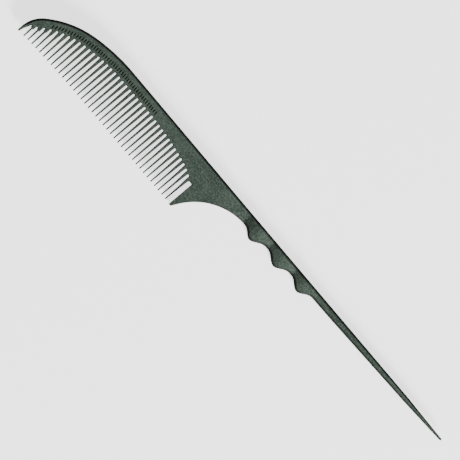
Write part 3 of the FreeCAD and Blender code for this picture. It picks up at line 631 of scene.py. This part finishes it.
def inside(point, loops):
    """True if a point lies in an odd number of the loops."""
    x, y = point
    odd = False
    for loop in loops:
        start = np.asarray(loop)
        end = np.roll(start, -1, axis=0)
        crosses = (start[:, 1] > y) != (end[:, 1] > y)
        a, b = start[crosses], end[crosses]
        hit = a[:, 0] + (y - a[:, 1]) * (b[:, 0] - a[:, 0]) / (b[:, 1] - a[:, 1])
        odd ^= bool(np.count_nonzero(hit > x) % 2)
    return odd


def fill_flat(shell, rim, holes, upward):
    """Fills a flat face between its rim and its holes with triangles."""
    loops = [rim, *holes]
    indices = [index for loop in loops for index in loop]
    outlines = [[np.array(shell.places[i][:2]) * FILL_SCALE for i in loop] for loop in loops]
    corners = [tuple(place) for outline in outlines for place in outline]
    edges, first = [], 0
    for loop in loops:
        edges += [(first + i, first + (i + 1) % len(loop)) for i in range(len(loop))]
        first += len(loop)
    places, _, triangles, origins, _, _ = delaunay_2d_cdt(corners, edges, [], 0, FILL_WELD)
    for triangle in triangles:
        centre = np.mean([places[i] for i in triangle], axis=0)
        if not inside(centre, outlines):
            continue
        if any(not origins[i] for i in triangle):
            raise ValueError(f"the outlines of a flat face cross near {centre}")
        found = [indices[origins[i][0]] for i in triangle]
        a, b, c = (np.array(places[i]) for i in triangle)
        turns_left = (b[0] - a[0]) * (c[1] - a[1]) - (b[1] - a[1]) * (c[0] - a[0]) > 0
        shell.face(found if turns_left == upward else found[::-1], flat=True)


def engrave_mark(shell, scene, place):
    """The walls and floor of one mark, and the loop of its rim."""
    marks = scene.comb_marks
    x = NOSE_X + marks.first + place * marks.pitch
    middle = np.array([x, back_level(scene.comb_outline, x) - marks.below_back])
    along = np.array([math.sin(marks.lean), -math.cos(marks.lean)])
    across = np.array([math.cos(marks.lean), math.sin(marks.lean)])
    half_loop = [(-MARK_END, -1), (MARK_END, -1), (1, -MARK_SHOULDER), (1, MARK_SHOULDER)]
    rim, floor = [], []
    for side, end in half_loop + [(-side, -end) for side, end in half_loop]:
        # A mark's floor takes the full painted shade, its rim none.
        for row, draft, z, painted_mark_shade in (
            (rim, 0.0, MIDDLE_Z + HALF, 0.0),
            (floor, MARK_DRAFT, MIDDLE_Z + HALF - marks.depth, 1.0),
        ):
            reach = end * (marks.length / 2 - draft)
            corner = middle + along * reach + across * side * (marks.width / 2 - draft)
            row.append(shell.point((*corner, z), (0, 0, 1), 0.0, painted_mark_shade))
    shell.strips([floor, rim], closed=True)
    shell.face(floor, flat=True)
    return rim


def build_plate(scene, walls, section):
    """
    The plate with its rounded edges and marks. walls are the stretches of its outline,
    anticlockwise, and a flat land closes the plate between one wall and the next. section is the
    number of the wall that ends at the thinning part of the handle.
    """
    shell = Shell()
    rows = [[shell.row(column(edge)) for edge in wall] for wall in walls]
    upper, lower = [], []
    for i, wall in enumerate(rows):
        shell.strips(wall)
        upper += [points[-1] for points in wall]
        lower += [points[0] for points in wall]
        following = rows[(i + 1) % len(rows)][0]
        if i != section:
            shell.face(following + wall[-1][::-1], flat=True)
            continue
        places = handle_places(scene, relief_start(scene.comb_outline), GRIP_START_X)
        rings = [shell.row(handle_ring(scene, x)) for x in places]
        shell.strips(rings, closed=True)
        shell.face(rings[-1][::-1], flat=True)
        side = len(wall[-1])
        upper += rings[0][side : side + FLAT_STEPS - 1]
        lower += rings[0][: side + FLAT_STEPS + side - 2 : -1]
    marks = [engrave_mark(shell, scene, i) for i in range(scene.comb_marks.count)]
    fill_flat(shell, upper, marks, True)
    fill_flat(shell, lower, [], False)
    return shell


# ---- Guards and teeth: they hang from the plate and taper towards their tips ----

def hanging_ring(section_at, y, land_y, shrink=0.0, turn=0.0):
    """The points round a cross-section of something that hangs along -Y from the plate."""
    left, right, half, left_round, right_round = section_at(y)
    slopes = np.zeros(3)
    if y < land_y - WELD:
        above, below = section_at(y + SLOPE_STEP), section_at(y - SLOPE_STEP)
        slopes = (np.array(above[:3]) - np.array(below[:3])) / (2 * SLOPE_STEP)
    sides = []
    for x, normal, radius in (
        (left + shrink, unit((-1, slopes[0])), left_round),
        (right - shrink, unit((1, -slopes[1])), right_round),
    ):
        edge = level_end(stop((x, y), normal, radius - min(shrink, radius / 2)), "x")
        sides.append(column(edge, half - shrink))
    down = np.array([0, -math.sin(turn), 0])
    ring = []
    for place, normal, rim in sides[0] + sides[1][::-1]:
        tilted = unit(normal) - np.array([0, slopes[2] * abs(normal[2]), 0])
        ring.append((place, unit(unit(tilted) * math.cos(turn) + down), rim))
    return ring


def hanging_shell(section_at, land_y, tip_y, tip_round, steps):
    """A closed shell that hangs from the plate, with a rounded tip."""
    levels = [land_y + (tip_y + tip_round - land_y) * i / steps for i in range(steps + 1)]
    rings = [hanging_ring(section_at, y, land_y) for y in levels]
    for left, shrink, turn in rounded_end(tip_round):
        rings.append(hanging_ring(section_at, tip_y + left, land_y, shrink, turn))
    shell = Shell()
    shell.tube(rings)
    return shell


def through(levels, values):
    """A smooth function through three values at three levels."""
    return np.polynomial.Polynomial.fit(levels, values, 2).convert()


def nose_guard_shell(scene):
    """The thin end tooth at the nose, which carries on the curve of the nose."""
    sizes, teeth = scene.comb_outline, scene.comb_teeth
    nose = back_stops(scene)[-1]
    middle_y = TIP_LINE_Y + GUARD_MIDDLE_LEVEL * (GUARD_LAND_Y - TIP_LINE_Y)
    levels = (GUARD_LAND_Y, middle_y, TIP_LINE_Y)
    root, tip = teeth.guard_root_width, teeth.guard_tip_width
    widths = (root, GUARD_MIDDLE_WIDTH * root + (1 - GUARD_MIDDLE_WIDTH) * tip, tip)
    left = through(levels, (nose["place"][0], NOSE_X, NOSE_X))
    right = through(levels, [NOSE_X + width for width in widths])
    tip_half = teeth.guard_tip_thickness / 2
    half = through(levels, (HALF, (HALF + tip_half) / 2, tip_half))
    tip_edge = NEARLY_ROUND * tip
    left_round = through(levels, (sizes.back_round, sizes.back_round / 2, tip_edge))
    right_round = through(levels, (sizes.slot_round, sizes.slot_round, tip_edge))

    def section_at(y):
        return (max(left(y), NOSE_X), right(y), half(y), left_round(y), right_round(y))

    return hanging_shell(section_at, GUARD_LAND_Y, TIP_LINE_Y, teeth.tip_round, GUARD_STEPS)


def tooth_template(scene, reach):
    """One upright tooth, with the middle of its tip at the origin."""
    sizes = scene.comb_teeth
    levels = (reach, sizes.knee_height, 0)
    width = through(levels, (sizes.root_width, sizes.knee_width, sizes.tip_width))
    half = through(levels, (HALF, sizes.knee_thickness / 2, sizes.tip_thickness / 2))
    knee_edge, tip_edge = NEARLY_ROUND * sizes.knee_width, NEARLY_ROUND * sizes.tip_width
    edge = through(levels, (scene.comb_outline.slot_round, knee_edge, tip_edge))

    def section_at(y):
        return (-width(y) / 2, width(y) / 2, half(y), edge(y), edge(y))

    return hanging_shell(section_at, reach, 0.0, sizes.tip_round, TOOTH_STEPS)


def heel_guard_shell(scene):
    """The triangular guard below the heel, which keeps the plate's full thickness."""
    sizes = scene.comb_outline
    corner = sizes.heel_tip_round
    centre = heel_centre(sizes)
    hollow_start = QUARTER + sizes.heel_slope
    slope_top = centre + sizes.heel_radius * heading(hollow_start)
    run = (slope_top[1] - HEEL_TIP_Y) / math.tan(sizes.heel_slope)
    outer_x = slope_top[0] - run - corner * math.tan(sizes.heel_slope / 2)
    tip_level = HEEL_TIP_Y + corner
    shares = [i / SIDE_STEPS for i in range(SIDE_STEPS)]
    levels = [HEEL_LAND_Y + (tip_level - HEEL_LAND_Y) * share for share in shares]
    inner = [stop((HEEL_X, y), (-1, 0), sizes.slot_round) for y in levels]
    inner_corner, outer_corner = (HEEL_X + corner, tip_level), (outer_x, tip_level)
    slope_angle, land_angle = sizes.heel_slope - QUARTER, heel_angle(sizes, y=HEEL_LAND_Y)
    tip = arc_stops(inner_corner, corner, math.pi, 3 * QUARTER, CORNER_STEPS, corner)
    tip += arc_stops(outer_corner, corner, -QUARTER, slope_angle, CORNER_STEPS, corner)
    start, slope_normal = tip[-1]["place"], tip[-1]["normal"]
    outer = [stop(start + (slope_top - start) * i, slope_normal, corner) for i in shares[1:]]
    outer += arc_stops(
        centre, sizes.heel_radius, hollow_start, land_angle, CURVE_STEPS, sizes.heel_round, True
    )
    for edge in outer[:-1]:
        grown = smooth_step(tip_level, tip_level + TIP_BLEND_LENGTH, edge["place"][1])
        edge["radius"] = corner + grown * (sizes.heel_round - corner)
    outer[-1] = level_end(outer[-1], "x")
    shell = Shell()
    rows = [shell.row(column(edge)) for edge in inner + tip + outer]
    shell.strips(rows)
    shell.face(rows[0] + rows[-1][::-1], flat=True)
    fill_flat(shell, [points[-1] for points in rows], [], True)
    fill_flat(shell, [points[0] for points in rows], [], False)
    return shell


# ---- Row of teeth: a node tree sets one tooth at each point and fits it to its place ----

def feed(tree, node, values):
    """Gives the inputs of a node their values. Each is a socket to link from, or a constant."""
    for name, value in values.items():
        if isinstance(value, bpy.types.NodeSocket):
            tree.links.new(value, node.inputs[name])
        else:
            node.inputs[name].default_value = value


def add_node(tree, kind, values, **settings):
    node = tree.nodes.new(kind)
    for name, value in settings.items():
        setattr(node, name, value)
    feed(tree, node, values)
    return node


def named_attribute(tree, name, kind):
    node = add_node(tree, "GeometryNodeInputNamedAttribute", {"Name": name}, data_type=kind)
    return node.outputs["Attribute"]


def add_math(tree, operation, *values):
    values = dict(enumerate(values))
    return add_node(tree, "ShaderNodeMath", values, operation=operation).outputs["Value"]


def tooth_row_tree():
    """
    Sets a tooth at every point. Below its knee a tooth keeps its shape, and above the knee it
    stretches to its own reach. The shift leans its root to one side.
    """
    tree = bpy.data.node_groups.new("Row of teeth", "GeometryNodeTree")
    for name, kind in (
        ("Points", "NodeSocketGeometry"),
        ("Tooth", "NodeSocketObject"),
        ("Knee Height", "NodeSocketFloat"),
        ("Template Reach", "NodeSocketFloat"),
        ("Material", "NodeSocketMaterial"),
    ):
        tree.interface.new_socket(name, in_out="INPUT", socket_type=kind)
    tree.interface.new_socket("Teeth", in_out="OUTPUT", socket_type="NodeSocketGeometry")
    given = add_node(tree, "NodeGroupInput", {}).outputs
    knee = given["Knee Height"]
    position = named_attribute(tree, "local", "FLOAT_VECTOR")
    local = add_node(tree, "ShaderNodeSeparateXYZ", {0: position}).outputs
    reach = named_attribute(tree, "reach", "FLOAT")
    shift = named_attribute(tree, "shift", "FLOAT")
    below = add_math(tree, "MINIMUM", local["Y"], knee)
    above = add_math(tree, "MAXIMUM", add_math(tree, "SUBTRACT", local["Y"], knee), 0.0)
    own_length = add_math(tree, "SUBTRACT", reach, knee)
    template_length = add_math(tree, "SUBTRACT", given["Template Reach"], knee)
    stretch = add_math(tree, "DIVIDE", own_length, template_length)
    height = add_math(tree, "MULTIPLY_ADD", above, stretch, below)
    lean = add_math(tree, "DIVIDE", height, reach)
    x = add_math(tree, "MULTIPLY_ADD", lean, shift, local["X"])
    fitted = add_node(tree, "ShaderNodeCombineXYZ", {"X": x, "Y": height, "Z": local["Z"]})
    anchor = named_attribute(tree, "anchor", "FLOAT_VECTOR")
    values = {0: fitted.outputs[0], 1: anchor}
    place = add_node(tree, "ShaderNodeVectorMath", values, operation="ADD").outputs[0]
    tooth = add_node(tree, "GeometryNodeObjectInfo", {"Object": given["Tooth"]})
    values = {"Points": given["Points"], "Instance": tooth.outputs["Geometry"]}
    made = add_node(tree, "GeometryNodeInstanceOnPoints", values).outputs["Instances"]
    for kind, values in (
        ("GeometryNodeRealizeInstances", {}),
        ("GeometryNodeSetPosition", {"Position": place}),
        ("GeometryNodeSetMaterial", {"Material": given["Material"]}),
    ):
        made = add_node(tree, kind, {"Geometry": made, **values}).outputs["Geometry"]
    add_node(tree, "NodeGroupOutput", {"Teeth": made})
    return tree


def set_input(modifier, name, value):
    """Sets a modifier's input by the identifier of its socket."""
    for item in modifier.node_group.interface.items_tree:
        if item.item_type == "SOCKET" and item.in_out == "INPUT" and item.name == name:
            modifier[item.identifier] = value
            return
    raise ValueError(f"the tree has no input named {name}")


def set_attribute(mesh, name, kind, values):
    """Gives a mesh a named value at every point."""
    layer = mesh.attributes.new(name, kind, "POINT")
    field = "vector" if kind == "FLOAT_VECTOR" else "value"
    layer.data.foreach_set(field, np.asarray(values, np.float32).ravel())


def teeth_mesh(scene, material):
    """The whole row of teeth as one plain mesh."""
    teeth = read_teeth()
    template_reach = max(tooth["land"] - tooth["tip_y"] for tooth in teeth)
    shell = tooth_template(scene, template_reach)
    template_mesh = shell.mesh("tooth_template")
    set_attribute(template_mesh, "local", "FLOAT_VECTOR", shell.places)
    set_attribute(template_mesh, "shading", "FLOAT_VECTOR", shell.normals)
    template = bpy.data.objects.new("tooth_template", template_mesh)
    anchors = [(tooth["tip_x"], tooth["tip_y"], 0) for tooth in teeth]
    reaches = [tooth["land"] - tooth["tip_y"] for tooth in teeth]
    shifts = [(tooth["left"] + tooth["right"]) / 2 - tooth["tip_x"] for tooth in teeth]
    points = bpy.data.meshes.new("tooth_points")
    points.from_pydata(anchors, [], [])
    set_attribute(points, "anchor", "FLOAT_VECTOR", anchors)
    set_attribute(points, "reach", "FLOAT", reaches)
    set_attribute(points, "shift", "FLOAT", shifts)
    row = link_object("tooth_points", points)
    modifier = row.modifiers.new("Row of teeth", "NODES")
    modifier.node_group = tooth_row_tree()
    set_input(modifier, "Tooth", template)
    set_input(modifier, "Knee Height", scene.comb_teeth.knee_height)
    set_input(modifier, "Template Reach", template_reach)
    set_input(modifier, "Material", material)
    graph = bpy.context.evaluated_depsgraph_get()
    mesh = bpy.data.meshes.new_from_object(
        row.evaluated_get(graph), preserve_all_data_layers=True, depsgraph=graph
    )
    for spare in (row, template):
        bpy.data.objects.remove(spare)
    normals = np.zeros(3 * len(mesh.vertices), np.float32)
    mesh.attributes["shading"].data.foreach_get("vector", normals)
    mesh.normals_split_custom_set_from_vertices(normals.reshape(-1, 3))
    for name in ("local", "shading", "anchor", "reach", "shift"):
        layer = mesh.attributes.get(name)
        if layer:
            mesh.attributes.remove(layer)
    return mesh


# ---- Finish ----

PLASTIC_NAME = "satin_green_grey_plastic"
# Scale per metre, detail and roughness of the mottling and of the grain.
MOTTLE, GRAIN = (160, 4, 0.55), (1400, 3, 0.6)
GRAIN_HEIGHT = 0.00005
GRAIN_STRENGTH = 0.25
# Where in the mottling the dark patches fade in, and in the grain the pale specks.
PATCH_RANGE, SPECK_RANGE = (0.38, 0.62), (0.44, 0.62)
SPECK_SHARE = 0.6
# Painted edge shade: an edge is darkest from this rim value on, and this dark.
PAINTED_EDGE_SHADE_FULL, PAINTED_EDGE_SHADE_SHARE = 0.65, 0.9
# The roughness follows the grain.
GRAIN_RANGE, ROUGHNESS_RANGE = (0.3, 0.7), (0.46, 0.62)
SPECULAR_LEVEL = 0.15
FLOOR_ROUGHNESS = 0.9


def add_noise(tree, coordinates, scale, detail, roughness):
    values = {"Vector": coordinates, "Scale": scale, "Detail": detail, "Roughness": roughness}
    return add_node(tree, "ShaderNodeTexNoise", values).outputs["Fac"]


def map_range(tree, value, low, high, new_low, new_high):
    names = ("Value", "From Min", "From Max", "To Min", "To Max")
    values = dict(zip(names, (value, low, high, new_low, new_high)))
    return add_node(tree, "ShaderNodeMapRange", values).outputs["Result"]


def mix_colours(tree, share, first, second):
    """Mixes two colours by a share. A colour node has its sockets at these numbers."""
    values = {0: share, 6: first, 7: second}
    return add_node(tree, "ShaderNodeMix", values, data_type="RGBA").outputs[2]


def new_material(name):
    """A new material, its tree and its shader."""
    material = bpy.data.materials.new(name)
    material.use_nodes = True
    return material, material.node_tree, material.node_tree.nodes["Principled BSDF"]


def plastic_material(finish):
    """Satin moulded plastic: mottled and finely grained, with painted shade darkening its
    rounded edges and the floors of its marks.
    """
    material, tree, shader = new_material(PLASTIC_NAME)
    coordinates = add_node(tree, "ShaderNodeTexCoord", {}).outputs["Object"]
    mottle = add_noise(tree, coordinates, *MOTTLE)
    grain = add_noise(tree, coordinates, *GRAIN)
    # The rim value sets the painted edge shade, and the mark value the painted shade in the
    # marks.
    rim = add_node(tree, "ShaderNodeAttribute", {}, attribute_name="rim").outputs["Fac"]
    painted_mark_shade = add_node(tree, "ShaderNodeAttribute", {}, attribute_name="painted_mark_shade").outputs["Fac"]
    main, dark = (*finish.plastic, 1), (*finish.plastic_dark, 1)
    pale, painted_shade_colour = (*finish.plastic_pale, 1), (*finish.painted_edge_and_mark_shade, 1)
    base = mix_colours(tree, map_range(tree, mottle, *PATCH_RANGE, 0, 1), main, dark)
    base = mix_colours(tree, map_range(tree, grain, *SPECK_RANGE, 0, SPECK_SHARE), base, pale)
    # Painted shade on the rounded edges, darkest halfway round them.
    base = mix_colours(tree, map_range(tree, rim, 0, PAINTED_EDGE_SHADE_FULL, 0, PAINTED_EDGE_SHADE_SHARE), base, painted_shade_colour)
    # Painted shade in the floors of the marks, fading up their walls.
    base = mix_colours(tree, painted_mark_shade, base, painted_shade_colour)
    values = {"Height": grain, "Strength": GRAIN_STRENGTH, "Distance": GRAIN_HEIGHT}
    normal = add_node(tree, "ShaderNodeBump", values).outputs["Normal"]
    roughness = map_range(tree, grain, *GRAIN_RANGE, *ROUGHNESS_RANGE)
    values = {"Base Color": base, "Roughness": roughness, "Normal": normal}
    feed(tree, shader, {**values, "Specular IOR Level": SPECULAR_LEVEL})
    return material


def floor_material(finish):
    """A pale sheet. Its glow shows only where it is seen directly, so it lights nothing."""
    material, tree, shader = new_material("pale_floor")
    pale = (*finish.floor, 1)
    seen = add_node(tree, "ShaderNodeLightPath", {}).outputs["Is Camera Ray"]
    glow = map_range(tree, seen, 0, 1, 0, finish.floor_glow)
    values = {"Base Color": pale, "Roughness": FLOOR_ROUGHNESS}
    feed(tree, shader, {**values, "Emission Color": pale, "Emission Strength": glow})
    return material


# ---- Operators: one for each piece or group of like pieces ----

def comb_plastic():
    """The plastic that every piece shares, made once."""
    made = bpy.data.materials.get(PLASTIC_NAME)
    return made or plastic_material(bpy.context.scene.comb_finish)


class COMB_OT_spine(bpy.types.Operator):
    """Build the plate that carries the teeth, with its slots and engraved marks"""

    bl_idname = "comb.spine"
    bl_label = "Spine"

    def execute(self, context):
        scene = context.scene
        slots = read_slots(scene, read_teeth())
        walls = [slot_stops(slot, scene.comb_outline.slot_round) for slot in slots]
        walls += [heel_stops(scene), back_stops(scene)]
        shell = build_plate(scene, walls, section=len(slots))
        add_piece("spine_plate", shell.mesh("spine_plate"), ["spine"], comb_plastic())
        return {"FINISHED"}


class COMB_OT_teeth(bpy.types.Operator):
    """Build the row of teeth"""

    bl_idname = "comb.teeth"
    bl_label = "Teeth"

    def execute(self, context):
        material = comb_plastic()
        add_piece("teeth", teeth_mesh(context.scene, material), TOOTH_NAMES, material)
        return {"FINISHED"}


class COMB_OT_guards(bpy.types.Operator):
    """Build the nose guard and the heel guard at the ends of the row of teeth"""

    bl_idname = "comb.guards"
    bl_label = "End guards"

    def execute(self, context):
        scene = context.scene
        for name, shell in (
            ("nose_guard", nose_guard_shell(scene)),
            ("heel_guard", heel_guard_shell(scene)),
        ):
            add_piece(f"{name}_end", shell.mesh(name), [name], comb_plastic())
        return {"FINISHED"}


class COMB_OT_grip(bpy.types.Operator):
    """Build the finger grip with its three waves"""

    bl_idname = "comb.grip"
    bl_label = "Finger grip"

    def execute(self, context):
        shell = build_handle_part(context.scene, GRIP_START_X, TAIL_START_X)
        add_piece("finger_grip", shell.mesh("finger_grip"), ["grip"], comb_plastic())
        return {"FINISHED"}


class COMB_OT_tail(bpy.types.Operator):
    """Build the pointed tail"""

    bl_idname = "comb.tail"
    bl_label = "Tail"

    def execute(self, context):
        end = TAIL_END_X - context.scene.comb_grip.tip_round
        shell = build_handle_part(context.scene, TAIL_START_X, end, rounded_tip=True)
        add_piece("pointed_tail", shell.mesh("pointed_tail"), ["tail"], comb_plastic())
        return {"FINISHED"}


# ---- Stage: floor, camera and lights ----

FLOOR_REACH = 2.0
# The camera looks straight down through a long lens. The comb's tail points down to the right.
VIEW_TURN = math.radians(49.71)
VIEW_WIDTH = 0.184
VIEW_CENTRE = (-0.00129, 0.00083)
LENS, SENSOR = 300, 36
VIEW_RANGE = (0.01, 10)
# The sky's strength, and each lamp's name, place, width in metres and power in watts. The key
# comes in low from the tail's side, so that the waves of the grip stand out.
SKY_STRENGTH = 0.15
LAMPS = (
    ("key", (2.65, -0.96, 0.76), 0.8, 320),
    ("fill", (-0.5, 0.6, 1.1), 1.0, 3),
)


def lay_floor(finish):
    reach = FLOOR_REACH
    corners = [(-reach, -reach, 0), (reach, -reach, 0), (reach, reach, 0), (-reach, reach, 0)]
    floor = bpy.data.meshes.new("floor")
    floor.from_pydata(corners, [], [(0, 1, 2, 3)])
    floor.materials.append(floor_material(finish))
    plane = link_object("floor", floor)


def place_camera():
    data = bpy.data.cameras.new("camera")
    data.lens, data.sensor_width = LENS, SENSOR
    data.clip_start, data.clip_end = VIEW_RANGE
    camera = link_object("camera", data)
    camera.location = (*VIEW_CENTRE, MIDDLE_Z + VIEW_WIDTH * LENS / SENSOR)
    camera.rotation_euler = (0, 0, VIEW_TURN)
    bpy.context.scene.camera = camera


def hang_lamps():
    world = bpy.data.worlds.new("studio")
    world.use_nodes = True
    background = world.node_tree.nodes["Background"]
    background.inputs["Color"].default_value = (1, 1, 1, 1)
    background.inputs["Strength"].default_value = SKY_STRENGTH
    bpy.context.scene.world = world
    for name, place, width, power in LAMPS:
        light = bpy.data.lights.new(name, "AREA")
        light.shape, light.size, light.energy = "DISK", width, power
        lamp = link_object(name, light)
        lamp.location = place
        lamp.rotation_euler = (-Vector(place)).to_track_quat("-Z", "Y").to_euler()


class COMB_OT_stage(bpy.types.Operator):
    """Build the floor, the camera and the lights"""

    bl_idname = "comb.stage"
    bl_label = "Stage"

    def execute(self, context):
        lay_floor(context.scene.comb_finish)
        place_camera()
        hang_lamps()
        return {"FINISHED"}


# ---- Panel and registration ----

OPERATORS = (
    COMB_OT_spine,
    COMB_OT_teeth,
    COMB_OT_guards,
    COMB_OT_grip,
    COMB_OT_tail,
    COMB_OT_stage,
)


class COMB_PT_panel(bpy.types.Panel):
    """Lists the comb's pieces in the order in which they are built"""

    bl_idname = "COMB_PT_panel"
    bl_label = "Rat tail comb"
    bl_space_type = "VIEW_3D"
    bl_region_type = "UI"
    bl_category = "Comb"

    def draw(self, context):
        for operator in OPERATORS:
            self.layout.operator(operator.bl_idname)


CLASSES = (*GROUPS.values(), *OPERATORS, COMB_PT_panel)


def register():
    for item in CLASSES:
        bpy.utils.register_class(item)
    for name, group in GROUPS.items():
        setattr(bpy.types.Scene, name, bpy.props.PointerProperty(type=group))


def unregister():
    for name in GROUPS:
        delattr(bpy.types.Scene, name)
    for item in reversed(CLASSES):
        bpy.utils.unregister_class(item)


def main():
    register()
    bpy.ops.comb.spine()
    bpy.ops.comb.teeth()
    bpy.ops.comb.guards()
    bpy.ops.comb.grip()
    bpy.ops.comb.tail()
    bpy.ops.comb.stage()
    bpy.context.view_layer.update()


if __name__ == "__main__":
    main()
